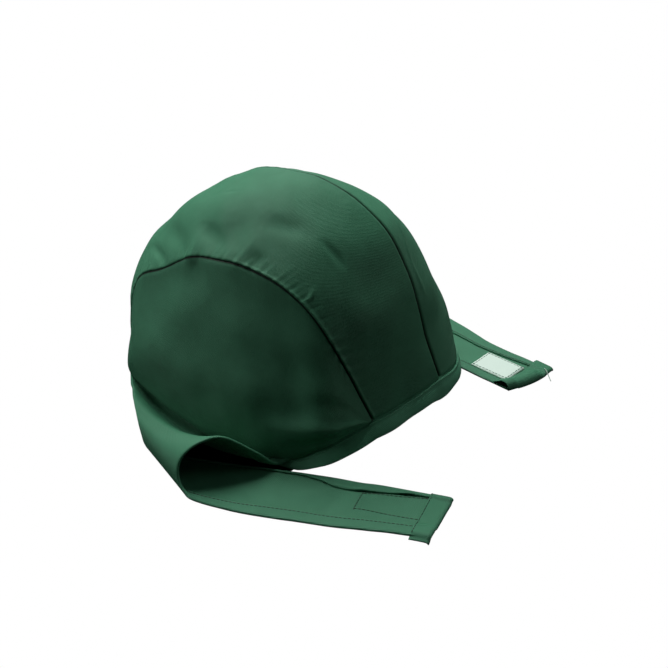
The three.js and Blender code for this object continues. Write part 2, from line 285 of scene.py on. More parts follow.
SEAM_GROOVE = {"depth": 1.0, "width": 0.7}
CENTRE_GROOVE = {"depth": 1.3, "width": 0.8}
HEM_GROOVE = {"depth": 1.4, "width": 0.8}
SIDE_DIP = {"depth": 0.35, "width": 1.5}
SEAM_RIDGE = 0.6
RIDGE_PLACE = 1.3
RIDGE_WIDTH = 0.7
RIDGE_UNTIL = (0.35, 0.5)
GATHER_HEIGHT = 0.42
GATHER_REACH = 4.5
SIDE_GATHER_HEIGHT = 0.1
LEFT_GATHER_SHIFT = 40
CENTRE_GATHER_SHIFT = 300
KINK = {"along": 0.605, "length": 0.02, "reach": 6.0, "rise": 1.6}

# Folds of the cap's cloth: both ends as shares along and across, width and height in millimetres

FOLDS = table(
    ("along", "across", "end_along", "end_across", "width", "height"),
    (0.744, -0.343, 0.689, -0.472, 3, -1.0),
    (0.706, -0.278, 0.622, -0.472, 6, -1.6),
    (0.594, -0.370, 0.511, -0.444, 5, -1.5),
    (0.500, -0.398, 0.439, -0.463, 6, -0.8),
    (0.411, -0.444, 0.372, -0.472, 4, -1.0),
    (0.444, -0.306, 0.361, -0.278, 6, -1.2),
    (0.578, -0.195, 0.578, -0.175, 5, -0.5),
    (0.328, -0.259, 0.272, -0.269, 2, -0.8),
    (0.239, -0.481, 0.256, -0.426, 1.2, 0.7),
    (0.289, 0.130, 0.250, 0.083, 1.3, 0.7),
    (0.250, 0.083, 0.217, 0.056, 1.3, 0.7),
    (0.217, 0.056, 0.167, 0.065, 1.3, 0.7),
    (0.588, -0.508, 0.539, -0.575, 6, -1.2),
    (0.350, -0.890, 0.140, -0.898, 6.5, 2.4),
    (0.140, -0.898, 0.040, -0.850, 6, 2.2),
    (0.310, -0.945, 0.120, -0.960, 4, -1.0),
    (0.290, -0.835, 0.080, -0.760, 8, -1.0),
)
FLAT_LENGTH = 330
FLAT_CROWN = 130
FLAT_SIDE = 210
FOLD_END_SHARE = 0.4


def groove(distance, shape):
    return -shape["depth"] * np.exp(-((distance / shape["width"]) ** 2))


def flat_place(along, across):
    """Rough flat place of shares along and across the cap, in millimetres."""
    share = np.abs(across)
    aside = np.minimum(share, 0.5) * FLAT_CROWN + np.maximum(share - 0.5, 0) * FLAT_SIDE
    return np.stack([along * FLAT_LENGTH, np.sign(across) * aside], axis=-1)


def fold_relief(along, across):
    """Height of the single folds, each along a line and softer towards its ends."""
    place = flat_place(along, across)
    starts = flat_place(FOLDS["along"], FOLDS["across"])
    ends = flat_place(FOLDS["end_along"], FOLDS["end_across"])
    height = np.zeros_like(along)
    for start, end, width, high in zip(starts, ends, FOLDS["width"], FOLDS["height"]):
        line = end - start
        share = np.clip((place - start) @ line / (line @ line), 0, 1)
        off = np.linalg.norm(place - start - share[:, None] * line, axis=1)
        ending = between(FOLD_END_SHARE, 1, arch(share))
        height += high * ending * np.exp(-((off / width) ** 2))
    return height


def seam_distances(along, across):
    """Distances of places on the cap from the side seam and from the centre seam."""
    share = np.abs(across) * 2
    crown_width = np.interp(along, SAMPLES, CROWN_WIDTH)
    side_width = np.interp(along, SAMPLES, SIDE_WIDTH)
    return np.abs(share - 1) * np.where(share <= 1, crown_width, side_width), share * crown_width


def cap_relief(along, across):
    """Height of seams, gathers and folds over the plain surface, in millimetres."""
    share = np.abs(across) * 2
    crown = share <= 1
    to_seam, to_centre = seam_distances(along, across)
    side_width = np.interp(along, SAMPLES, SIDE_WIDTH)
    seam_place = np.interp(along, SAMPLES, SEAM_LENGTH)
    centre_place = np.interp(along, SAMPLES, CENTRE_LENGTH)
    on_crown = groove(to_seam, SEAM_GROOVE) + groove(to_centre, CENTRE_GROOVE)
    on_crown += groove(centre_place, HEM_GROOVE)
    ridge = SEAM_RIDGE * np.exp(-(((to_seam - RIDGE_PLACE) / RIDGE_WIDTH) ** 2))
    on_crown += ridge * (1 - smooth_step(along, *RIDGE_UNTIL))
    over_hem = groove((2 - share) * side_width, HEM_GROOVE) * (along < TAIL_START)
    height = np.where(crown, on_crown, groove(to_seam, SIDE_DIP) + over_hem)
    kink = np.exp(-(((along - KINK["along"]) / KINK["length"]) ** 2) - to_seam / KINK["reach"])
    height += KINK["rise"] * kink * (across < 0)
    gather = gathers(seam_place + LEFT_GATHER_SHIFT * (across > 0)) * np.exp(-to_seam / GATHER_REACH)
    height += gather * np.where(crown, GATHER_HEIGHT, SIDE_GATHER_HEIGHT)
    gather = gathers(centre_place + CENTRE_GATHER_SHIFT) * np.exp(-to_centre / GATHER_REACH)
    return height + gather * SIDE_GATHER_HEIGHT + fold_relief(along, across)


def cap_cloth(along, across, depth):
    """Cloth of the cap, sunk by a depth under its outer face."""
    point = cap_point(along, across)
    height = cap_relief(along, across) + soft_waves(point) - depth
    return point + cap_normal(along, across) * height[:, None]


# Tails, each starting tucked in behind the lower edge of its side panel

TAIL_TUCK = 0.9
TAIL_TUCK_DROP = 0.5


def tail_sections(tail):
    """Rear and front edge of each section of a tail, and its bow."""
    pivot_x = (TAIL_SECTIONS["rear_x"] + TAIL_SECTIONS["front_x"])[ROLL_SECTIONS] / 2
    pivot_out = (TAIL_SECTIONS["rear_out"] + TAIL_SECTIONS["front_out"])[ROLL_SECTIONS] / 2
    number = np.arange(len(TAIL_SECTIONS["bow"]))
    turn = np.where(number > ROLL_SECTIONS, math.radians(tail["turn"]), 0)
    back = tail["set_back"] * np.minimum(1, (number + 1) / SHIFT_SECTIONS)
    edges = []
    for edge, inward in (("rear", 1), ("front", -1)):
        x, out, z = (TAIL_SECTIONS[edge + axis].copy() for axis in ("_x", "_out", "_z"))
        for section, trim in tail[edge + "_trims"].items():
            out[section] += inward * trim
        rise = tail["end_rise"] * smooth_step(x, END_RISE_FROM, END_RISE_TO)
        placed_x = pivot_x + (x - pivot_x) * np.cos(turn) + (out - pivot_out) * np.sin(turn) - back
        placed_out = pivot_out + (out - pivot_out) * np.cos(turn) - (x - pivot_x) * np.sin(turn)
        edges.append(np.stack([placed_x, placed_out * tail["side"], z + rise], axis=1))
    edges[1][-1, 0] += tail["end_skew"]
    return edges[0], edges[1], TAIL_SECTIONS["bow"] * tail["side"]


def tail_point(tail, along, across):
    """Middle of a tail's cloth: along 0 panel to 1 end, across 0 rear edge to 1 front edge."""
    rear, front, bow = tail_sections(tail)
    rib = between(1, TAIL_START, np.clip(across, 0, 1))
    side = np.full_like(rib, tail["side"])
    base = cap_point(rib, side) - cap_normal(rib, side) * TAIL_TUCK
    base[:, 2] -= TAIL_TUCK_DROP
    points = between(rear[:, None], front[:, None], across[None, :, None])
    points[:, :, 1] += bow[:, None] * arch(across)[None]
    points[:, :, 2] += TAIL_SECTIONS["lift"][:, None] * arch(across)[None]
    place = smooth_curve(np.concatenate([base[None], points]), along)
    place[:, 2] = np.maximum(place[:, 2], TAIL_CLOTH / 2)
    return place


# Small rises and folds of the lying tails: place in the table's plane, reach and height

TAIL_RISES = table(
    ("x", "y", "reach_x", "reach_y", "height"),
    (64, -98, 13, 9, 1.6),
    (78, -97, 5, 10, -0.6),
    (92, -90, 12, 10, 0.7),
    (40, -110, 22, 12, 0.8),
    (66, 82, 16, 10, 1.0),
    (84, 66, 10, 8, 0.5),
)
WAVE_SHARE = 0.4
RISES_FROM = (0.62, 0.72)


def tail_place(tail, along, aside, height):
    """A place by its share along a tail, its distance in from the rear edge and its height."""
    inside = np.minimum(along, 1)
    zero = np.zeros_like(inside)
    rear = tail_point(tail, inside, zero)
    front = tail_point(tail, inside, zero + 1)
    across = aside / np.linalg.norm(front - rear, axis=1)
    point = tail_point(tail, inside, across)
    ahead = tail_point(tail, zero + 1, across) - tail_point(tail, zero + 1 - SLOPE_STEP, across)
    point += ahead / SLOPE_STEP * np.maximum(along - 1, 0)[:, None]
    step = np.clip(across, 0, 1)
    normal = surface_normal(lambda a, b: tail_point(tail, a, b), inside, step, 0, 1) * -tail["side"]
    rise = np.maximum(soft_waves(point), 0) * WAVE_SHARE
    rise += soft_bumps(TAIL_RISES, point[:, 0], point[:, 1])
    lying = smooth_step(along, *RISES_FROM)
    return point + normal * (height + np.maximum(rise, 0) * lying)[:, None]


def tail_width(tail, along):
    zero = np.zeros_like(along)
    return np.linalg.norm(tail_point(tail, along, zero + 1) - tail_point(tail, along, zero), axis=1)


def end_share(tail, inset):
    """Share along a tail of a place some millimetres in from its end."""
    one = np.ones(1)
    half = np.full(1, 0.5)
    step = tail_point(tail, one, half) - tail_point(tail, one - SLOPE_STEP, half)
    return 1 - np.asarray(inset, float) * SLOPE_STEP / np.linalg.norm(step)


# Meshes


def add_object(name, data):
    made = bpy.data.objects.new(name, data)
    bpy.context.scene.collection.objects.link(made)
    return made


def set_uv(mesh, flat):
    """Flat cloth places in millimetres as the mesh's UV."""
    layer = mesh.uv_layers.new(name="cloth_mm")
    corners = np.zeros(len(mesh.loops), np.int32)
    mesh.loops.foreach_get("vertex_index", corners)
    layer.data.foreach_set("uv", flat[corners].astype(np.float32).ravel())


def new_piece(name, points, faces, flat, material):
    """A smooth mesh of millimetre points in the table's frame, as an object in the part's frame."""
    mesh = bpy.data.meshes.new(name)
    mesh.from_pydata(((np.asarray(points) - ORIGIN) * MM).tolist(), [], faces)
    mesh.polygons.foreach_set("use_smooth", [True] * len(mesh.polygons))
    set_uv(mesh, np.asarray(flat, float))
    mesh.materials.append(material)
    return add_object(name, mesh)


def wall_faces(rows, columns):
    """Faces of a closed wall between an outer grid and an inner grid that follows it."""
    layer = rows * columns
    at = np.arange(layer).reshape(rows, columns)
    outer = np.stack([at[:-1, :-1], at[:-1, 1:], at[1:, 1:], at[1:, :-1]], axis=-1).reshape(-1, 4)
    rim = np.concatenate([at[0, :-1], at[:-1, -1], at[-1, :0:-1], at[:0:-1, 0]])
    following = np.roll(rim, -1)
    edge = np.stack([following, rim, rim + layer, following + layer], axis=-1)
    return np.concatenate([outer, outer[:, ::-1] + layer, edge]).tolist()


def flat_places(across, along):
    """Flat cloth places from running lengths across and along a grid."""
    return np.stack(np.broadcast_arrays(across, along[:, None]), axis=-1).reshape(-1, 2)


def flat_grid(grid):
    """Flat cloth places of a grid of points, by running lengths across and along it."""
    across = running_length(np.swapaxes(grid, 0, 1)).T
    across -= across[:, across.shape[1] // 2][:, None]
    return flat_places(across, running_length(grid[:, grid.shape[1] // 2]))


def sheet_size(grid):
    """Largest width and length of a grid of cloth and its area, in metres."""
    width = running_length(np.swapaxes(grid, 0, 1))[-1].max() * MM
    length = running_length(grid)[-1].max() * MM
    side_a = grid[1:, 1:] - grid[:-1, :-1]
    side_b = grid[1:, :-1] - grid[:-1, 1:]
    area = np.linalg.norm(np.cross(side_a, side_b), axis=-1).sum() / 2 * MM * MM
    return width, length, min(area, width * length)


def wall_piece(name, outer, inner, material, turned=False):
    """A closed sheet of cloth between two grids, with its flat size."""
    rows, columns = outer.shape[:2]
    faces = wall_faces(rows, columns)
    if turned:
        faces = [face[::-1] for face in faces]
    flat = flat_grid(outer)
    points = np.concatenate([outer.reshape(-1, 3), inner.reshape(-1, 3)])
    made = new_piece(name, points, faces, np.concatenate([flat, flat]), material)
    return made, sheet_size((outer + inner) / 2)


# Materials


def colour(hex_text):
    """A linear colour from sRGB hex, by the standard sRGB curve."""
    parts = [int(hex_text[i:i + 2], 16) / 255 for i in (1, 3, 5)]
    linear = [part / 12.92 if part <= 0.04045 else ((part + 0.055) / 1.055) ** 2.4 for part in parts]
    return (*linear, 1.0)


def add_node(tree, kind, settings=None, inputs=None):
    """Adds a node: settings are its own properties, inputs are values or sockets to link."""
    node = tree.nodes.new(kind)
    for name, value in (settings or {}).items():
        setattr(node, name, value)
    for name, value in (inputs or {}).items():
        if isinstance(value, bpy.types.NodeSocket):
            tree.links.new(value, node.inputs[name])
        else:
            node.inputs[name].default_value = value
    return node


def multiply_add(tree, value, factor, added):
    inputs = {0: value, 1: factor, 2: added}
    return add_node(tree, "ShaderNodeMath", {"operation": "MULTIPLY_ADD"}, inputs).outputs["Value"]


# Places of the colour sockets among a mix node's inputs and outputs

MIX_FIRST = 6
MIX_SECOND = 7
MIX_RESULT = 2


def mix_colours(tree, share, first, second):
    inputs = {"Factor": share, MIX_FIRST: first, MIX_SECOND: second}
    return add_node(tree, "ShaderNodeMix", {"data_type": "RGBA"}, inputs).outputs[MIX_RESULT]


# A band texture of scale 1 turns by so many radians in each unit

BAND_RADIANS = 20


def band_scale(pitch):
    """Scale of a band texture whose bands repeat at this pitch."""
    return FULL_TURN / BAND_RADIANS / pitch


def new_material(name, kind="ShaderNodeBsdfPrincipled", inputs=None):
    """A material with one shader of a kind, and its nodes."""
    material = bpy.data.materials.new(name)
    material.use_nodes = True
    tree = material.node_tree
    tree.nodes.clear()
    shader = add_node(tree, kind, inputs=inputs)
    add_node(tree, "ShaderNodeOutputMaterial", inputs={"Surface": shader.outputs[0]})
    return material, tree, shader


TWILL_PITCH = 0.9
TWILL_UNEVENNESS = 0.6
TWILL_SHARE = 0.7
TWILL_TURN = math.radians(58)
YARN_PITCH = 0.45
YARN_UNEVENNESS = 0.4
FIBRE_SIZE = 0.5
FIBRE_DETAIL = 3.0
FIBRE_SHARE = 0.4
MOTTLE_SIZE = 9.0
MOTTLE_DETAIL = 4.0
MOTTLE_SHARE = 0.6
WEAVE_RELIEF = {"Strength": 0.6, "Distance": 0.00015}
# Near-black tone of the painted shade along the seam creases between panels
PAINTED_SEAM_SHADE_TONE = "#04140c"
COTTON_SHADE = {
    "Roughness": 0.62,
    "Specular IOR Level": 0.35,
    "Sheen Weight": 0.12,
    "Sheen Roughness": 0.4,
    "Sheen Tint": colour("#9fd0b4"),
}


def cotton_material(name, deep, light):
    """Piece-dyed cotton drill: matt, with a fine slanting rib, slight mottling and a soft bloom at grazing
    sight, with painted shade, near black, along the seam creases between two panels."""
    material, tree, shader = new_material(name, inputs=COTTON_SHADE)
    flat = add_node(tree, "ShaderNodeUVMap", {"uv_map": "cloth_mm"}).outputs["UV"]
    slant = add_node(tree, "ShaderNodeMapping", inputs={"Vector": flat, "Rotation": (0, 0, TWILL_TURN)})
    twill = add_node(tree, "ShaderNodeTexWave", inputs={
        "Vector": slant.outputs["Vector"], "Scale": band_scale(TWILL_PITCH),
        "Distortion": TWILL_UNEVENNESS})
    yarn = add_node(tree, "ShaderNodeTexWave", inputs={
        "Vector": flat, "Scale": band_scale(YARN_PITCH), "Distortion": YARN_UNEVENNESS})
    fibre = add_node(tree, "ShaderNodeTexNoise", inputs={
        "Vector": flat, "Scale": 1 / FIBRE_SIZE, "Detail": FIBRE_DETAIL}).outputs["Fac"]
    mottle = add_node(tree, "ShaderNodeTexNoise", inputs={
        "Vector": flat, "Scale": 1 / MOTTLE_SIZE, "Detail": MOTTLE_DETAIL}).outputs["Fac"]
    blend = multiply_add(tree, fibre, FIBRE_SHARE, multiply_add(tree, mottle, MOTTLE_SHARE, 0.0))
    tint = mix_colours(tree, blend, colour(deep), colour(light))
    ribs = multiply_add(tree, twill.outputs["Fac"], TWILL_SHARE, yarn.outputs["Fac"])
    relief = multiply_add(tree, fibre, 1.0, ribs)
    bump = add_node(tree, "ShaderNodeBump", inputs={**WEAVE_RELIEF, "Height": relief})
    # The seam attribute says where the seam creases get painted shade
    painted_seam_shade = add_node(tree, "ShaderNodeAttribute", {"attribute_name": "seam"}).outputs["Fac"]
    tree.links.new(mix_colours(tree, painted_seam_shade, tint, colour(PAINTED_SEAM_SHADE_TONE)), shader.inputs["Base Color"])
    tree.links.new(bump.outputs["Normal"], shader.inputs["Normal"])
    return material


THREAD_ROUGHNESS = 0.5


def thread_material(name, tone):
    """Polyester sewing thread: smooth, with a slight shine on each stitch."""
    return new_material(name, inputs={"Base Color": colour(tone), "Roughness": THREAD_ROUGHNESS})[0]


HOOK_PITCH = 1.1
HOOK_UNEVENNESS = 0.35
HOOK_RELIEF = {"Strength": 0.4, "Distance": 0.0002}
TAPE_ROUGHNESS = 0.75


def tape_material(name, tone):
    """Nylon hook-and-loop tape: pale, matt, with close rows of tiny hooks."""
    inputs = {"Base Color": colour(tone), "Roughness": TAPE_ROUGHNESS}
    material, tree, shader = new_material(name, inputs=inputs)
    flat = add_node(tree, "ShaderNodeUVMap", {"uv_map": "cloth_mm"}).outputs["UV"]
    hooks = add_node(tree, "ShaderNodeTexVoronoi", inputs={
        "Vector": flat, "Scale": 1 / HOOK_PITCH, "Randomness": HOOK_UNEVENNESS})
    bump = add_node(tree, "ShaderNodeBump", {"invert": True}, {
        **HOOK_RELIEF, "Height": hooks.outputs["Distance"]})
    tree.links.new(bump.outputs["Normal"], shader.inputs["Normal"])
    return material


COTTON = cotton_material("cotton_drill", "#2d6a4c", "#3f8262")
# A lighter copy of the same cotton, used on the hem: painted light standing in for light falling on the
# hem from the front and right
HEM_COTTON_PAINTED_LIGHTER = cotton_material("cotton_drill_hem_painted_lighter", "#418664", "#57a27f")
THREAD = thread_material("polyester_thread", "#2f6b4f")
# Real stitches in near-black thread: painted shade of stitch lines sunk into the cloth
STITCH_SHADE_PAINTED_THREAD = thread_material("thread_painted_dark_as_stitch_shade", "#123a26")
PALE_THREAD = thread_material("thread_on_the_hem", "#5b9a7b")
GREY_THREAD = thread_material("grey_thread", "#9db3a6")
TAPE = tape_material("hook_tape", "#cfe2d7")

pieces = {}
sheets = {}

# Panels of the cap

EDGE_STEPS = np.array([0, 0.25, 0.5, 0.8, 1.2, 1.8, 2.6, 3.6])
PANEL_ROWS = 220
# Painted shade along the seams: full up to the first distance and gone by the second, in millimetres
PAINTED_SEAM_SHADE_REACH = (0.2, 1.05)


def edge_shares(count, width):
    """Shares from 0 to 1 that lie closer together by both edges of a strip."""
    near = EDGE_STEPS / width
    middle = np.linspace(near[-1], 1 - near[-1], count)
    return np.concatenate([near[:-1], middle, 1 - near[-2::-1]])


def cap_panel(name, side, start, end, width, columns):
    """A panel between two lines across the ribs."""
    rows = edge_shares(PANEL_ROWS, CENTRE_LENGTH[-1])
    shares = edge_shares(columns, width)
    along, share = (grid.ravel() for grid in np.meshgrid(rows, shares, indexing="ij"))
    across = side * between(start, end, share)
    shape = (len(rows), len(shares), 3)
    outer = cap_cloth(along, across, 0).reshape(shape)
    inner = cap_cloth(along, across, PANEL_CLOTH).reshape(shape)
    pieces[name], sheets[name] = wall_piece(name, outer, inner, COTTON, turned=side < 0)
    # Painted shade along the seam creases, stored for each point as the seam attribute
    painted_seam_shade_share = 1 - smooth_step(np.minimum(*seam_distances(along, across)), *PAINTED_SEAM_SHADE_REACH)
    marks = pieces[name].data.attributes.new("seam", "FLOAT", "POINT")
    marks.data.foreach_set("value", np.concatenate([painted_seam_shade_share, painted_seam_shade_share]).astype(np.float32))


CROWN = {"start": 0, "end": 0.5, "width": 65, "columns": 54}
SIDE = {"start": 0.5, "end": 1, "width": 105, "columns": 70}
cap_panel("crown_panel_right", -1, **CROWN)
cap_panel("crown_panel_left", 1, **CROWN)
cap_panel("side_panel_right", -1, **SIDE)
cap_panel("side_panel_left", 1, **SIDE)

# Tails with both long edges turned over and stitched

HEM_FOLD = 8.5
FOLD_ROUND = 1.4
BODY_HEIGHT = -0.52
FOLD_HEIGHT = 0.5
TAIL_ROWS = 190
BODY_COLUMNS = 26
FOLD_PROFILE = table(
    ("aside", "height"),
    (HEM_FOLD, FOLD_HEIGHT),
    (7.0, FOLD_HEIGHT),
    (5.0, FOLD_HEIGHT),
    (3.0, FOLD_HEIGHT),
    (FOLD_ROUND, FOLD_HEIGHT),
    (0.55, 0.42),
    (0.1, 0.22),
    (0.0, 0.0),
    (0.1, -0.22),
    (0.55, -0.44),
    (FOLD_ROUND, BODY_HEIGHT),
)
FOLD_TOP = FOLD_HEIGHT + LAYER_CLOTH / 2
BODY_TOP = BODY_HEIGHT + LAYER_CLOTH / 2

# Widths of the tails' turned edges at places along the table, and lifts of the rear ones' inner edges

FOLD_WIDTHS = {
    "tail_right": {"rear": ((34, 1.6), (51, 2), (58, 3.5), (63, 5), (70, 8.2),
                            (84, 8.7), (91, 7.7), (115, 3.5), (130, 2.5)),
                   "front": ((0, 8.5), (140, 8.5))},
    "tail_left": {"rear": ((0, 6), (140, 6)),
                  "front": ((40, 12), (60, 11), (76, 9.3), (90, 7.5), (120, 5))},
}
FOLD_LIFTS = {
    "tail_right": table(("x", "reach", "height"), (67, 7, 0.5), (88, 6, 0.8), (113, 6, 1.1)),
    "tail_left": table(("x", "reach", "height"), (60, 14, 0.3)),
}
LIFT_ACROSS = 0.1
LIFT_ASIDE = 4.0
LYING_FROM = 0.6


def fold_width(tail, edge, along):
    """Width of a tail's turned edge at shares along it."""
    across = np.full_like(along, 0.0 if edge == "rear" else 1.0)
    places, widths = zip(*FOLD_WIDTHS[tail["name"]][edge])
    return np.interp(tail_point(tail, along, across)[:, 0], places, widths)


def fold_asides(width):
    """Distances in from an edge round the turned cloth's profile, for a width of fold at each row."""
    aside = FOLD_PROFILE["aside"]
    stretch = (width[:, None] - FOLD_ROUND) / (HEM_FOLD - FOLD_ROUND)
    return np.where(aside > FOLD_ROUND, FOLD_ROUND + (aside - FOLD_ROUND) * stretch, aside)


def offset_profiles(aside, height, offset):
    """Profiles, one a row, moved square to themselves by an offset."""
    slope_aside = np.gradient(aside, axis=1)
    slope_height = np.gradient(height, axis=1)
    size = np.maximum(np.hypot(slope_aside, slope_height), TINY)
    return aside - slope_height / size * offset, height + slope_aside / size * offset


def tail_piece(tail):
    name = tail["name"]
    rows = np.linspace(0, 1, TAIL_ROWS)
    width = tail_width(tail, rows)
    rear = fold_asides(fold_width(tail, "rear", rows))
    front = fold_asides(fold_width(tail, "front", rows))
    body = np.linspace(0, 1, BODY_COLUMNS + 2)[1:-1]
    span = width[:, None] - 2 * FOLD_ROUND
    aside = np.concatenate([rear, FOLD_ROUND + span * body, width[:, None] - front[:, ::-1]], axis=1)
    middle_x = tail_point(tail, rows, np.full(TAIL_ROWS, LIFT_ACROSS))[:, 0]
    lift = np.zeros(TAIL_ROWS)
    for x, reach, high in zip(*FOLD_LIFTS[name].values()):
        lift += high * np.exp(-((middle_x - x) / reach) ** 2) * (rows > LYING_FROM)
    lifting = np.clip((FOLD_PROFILE["aside"] - LIFT_ASIDE) / (HEM_FOLD - LIFT_ASIDE), 0, 1)
    front_height = np.repeat(FOLD_PROFILE["height"][None], TAIL_ROWS, axis=0)
    rear_height = front_height + lift[:, None] * lifting[None]
    flat_body = np.full((TAIL_ROWS, BODY_COLUMNS), BODY_HEIGHT)
    height = np.concatenate([rear_height, flat_body, front_height[:, ::-1]], axis=1)
    along = np.repeat(rows, aside.shape[1])
    grids = []
    for offset in (LAYER_CLOTH / 2, -LAYER_CLOTH / 2):
        off_aside, off_height = offset_profiles(aside, height, offset)
        places = tail_place(tail, along, off_aside.ravel(), off_height.ravel())
        grids.append(places.reshape(*aside.shape, 3))
    pieces[name], sheets[name] = wall_piece(name, grids[0], grids[1], COTTON, turned=tail["side"] > 0)


tail_piece(RIGHT_TAIL)
tail_piece(LEFT_TAIL)

# Ends of the tails, folded back over the hems, the left one curled up as a loose roll

END_FOLD = 11.0
FLAP_CLOTH = 0.6
FLAP_ROWS = 44
RIGHT_END = {"start": 0.2, "past": 3.4, "drop": 2.4, "curl": 0.0, "bow": 0.0}
LEFT_END = {"start": -0.4, "past": 2.0, "drop": 0.0, "curl": 3.2, "bow": 2.5}
CURL_STOP = (5.0, 12.0)
DROP_SPAN = (-1.0, 3.0)
FLAP_STEP = (-0.5, 1.5)
FLAP_PROFILE = table(
    ("inset", "height", "curl"),
    (END_FOLD, -0.1, 0.0),
    (10.0, 0.0, 0.1),
    (8.0, 0.03, 0.4),
    (6.0, 0.05, 0.8),
    (4.5, 0.05, 1.0),
    (3.0, 0.05, 1.0),
    (1.4, 0.0, 0.85),
    (0.4, -0.2, 0.6),
    (-0.3, -0.7, 0.3),
    (-0.6, -1.3, 0.0),
    (-0.5, -1.8, 0.0),
)


def flap_base(tail, aside):
    """Height of a folded end's cloth where it follows the hems and the body under it."""
    one = np.ones(1)
    width = tail_width(tail, one)
    rear = fold_width(tail, "rear", one)
    front = fold_width(tail, "front", one)
    on_rear = 1 - smooth_step(aside, rear + FLAP_STEP[0], rear + FLAP_STEP[1])
    on_front = smooth_step(aside, width - front - FLAP_STEP[1], width - front - FLAP_STEP[0])
    return between(BODY_TOP, FOLD_TOP, np.maximum(on_rear, on_front)) + FLAP_CLOTH / 2


def end_flap(tail, end):
    """The folded end as a sheet that wraps over the end of the tail's cloth."""
    name = tail["name"] + "_end"
    width = float(tail_width(tail, np.ones(1))[0])
    aside = np.linspace(end["start"], width + end["past"], FLAP_ROWS)
    beyond = smooth_step(aside, width + DROP_SPAN[0], width + DROP_SPAN[1])
    curled = 1 - smooth_step(aside, width - CURL_STOP[1], width - CURL_STOP[0])
    inset = FLAP_PROFILE["inset"][None] - end["bow"] * arch(np.clip(aside / width, 0, 1))[:, None]
    height = flap_base(tail, aside)[:, None] + FLAP_PROFILE["height"][None] - end["drop"] * beyond[:, None]
    height += end["curl"] * curled[:, None] * FLAP_PROFILE["curl"][None]
    all_aside = np.repeat(aside, inset.shape[1])
    grids = []
    for offset in (-FLAP_CLOTH / 2, FLAP_CLOTH / 2):
        off_inset, off_height = offset_profiles(inset, height, offset)
        places = tail_place(tail, end_share(tail, off_inset.ravel()), all_aside, off_height.ravel())
        places[:, 2] = np.maximum(places[:, 2], TABLE_GAP)
        grids.append(places.reshape(*inset.shape, 3))
    pieces[name], _ = wall_piece(name, grids[0], grids[1], COTTON, turned=tail["side"] > 0)


end_flap(RIGHT_TAIL, RIGHT_END)
end_flap(LEFT_TAIL, LEFT_END)

# Hem round the rim, folded under and stitched along its upper line

HEM_FRONT_HEIGHT = 9.3
HEM_LEFT_HEIGHT = 7.5
HEM_END_HEIGHT = 2.8
HEM_CENTRE_DROP = 3.4
HEM_CENTRE_REACH = 0.08
HEM_FLARE = 5.0
HEM_LEFT_FLARE = 2.0
HEM_END_FLARE = 1.6
HEM_SIDE_FLARE = 4.5
HEM_LAP = 0.05
HEM_FLOOR = 0.3
HEM_SIDE_STEPS = 44
HEM_FRONT_STEPS = 100
HEM_PROFILE = table(
    ("down", "out"),
    (-0.2, -2.3),
    (0.0, -1.2),
    (0.02, -0.4),
    (0.035, 0.3),
    (0.06, 0.55),
    (0.09, 0.5),
    (0.12, 0.05),
    (0.16, 0.0),
    (0.22, 0.35),
    (0.32, 0.65),
    (0.5, 0.8),
    (0.7, 0.75),
    (0.86, 0.5),
    (0.95, 0.1),
    (1.0, -0.5),
    (0.97, -1.1),
    (0.88, -1.5),
    (0.6, -1.8),
    (0.3, -2.0),
    (0.05, -2.3),
    (-0.2, -2.8),
)


def hem_lines():
    """Upper line, lower line and outward directions of the hem, from the right tail to the left."""
    share = np.linspace(0, 1, HEM_SIDE_STEPS + 1)
    side_along = between(TAIL_START + HEM_LAP, CORNER_TRIM, share)
    front = np.linspace(-0.5, 0.5, HEM_FRONT_STEPS + 1)
    one = np.ones_like(share)
    along = np.concatenate([side_along, 0 * front, side_along[::-1]])
    across = np.concatenate([-one, front, one])
    right = between(HEM_END_HEIGHT, HEM_FRONT_HEIGHT, share)
    left = between(HEM_END_HEIGHT, HEM_LEFT_HEIGHT, share)
    middle = between(HEM_FRONT_HEIGHT, HEM_LEFT_HEIGHT, np.maximum(0, 2 * front))
    middle += HEM_CENTRE_DROP * np.exp(-((front / HEM_CENTRE_REACH) ** 2))
    height = np.concatenate([right, middle, left[::-1]])
    right_flare = between(HEM_END_FLARE, HEM_FLARE, share) + HEM_SIDE_FLARE * arch(share)
    left_flare = between(HEM_END_FLARE, HEM_LEFT_FLARE, share) + HEM_SIDE_FLARE * arch(share)
    front_flare = between(HEM_FLARE, HEM_LEFT_FLARE, front + 0.5)
    flare = np.concatenate([right_flare, front_flare, left_flare[::-1]])
    top = cap_point(along, across)
    top_out = cap_normal(along, across)
    bottom_out = unit(top * LEVEL)
    bottom = top + bottom_out * flare[:, None]
    bottom[:, 2] = np.maximum(top[:, 2] - height, HEM_FLOOR)
    return top, bottom, top_out, bottom_out


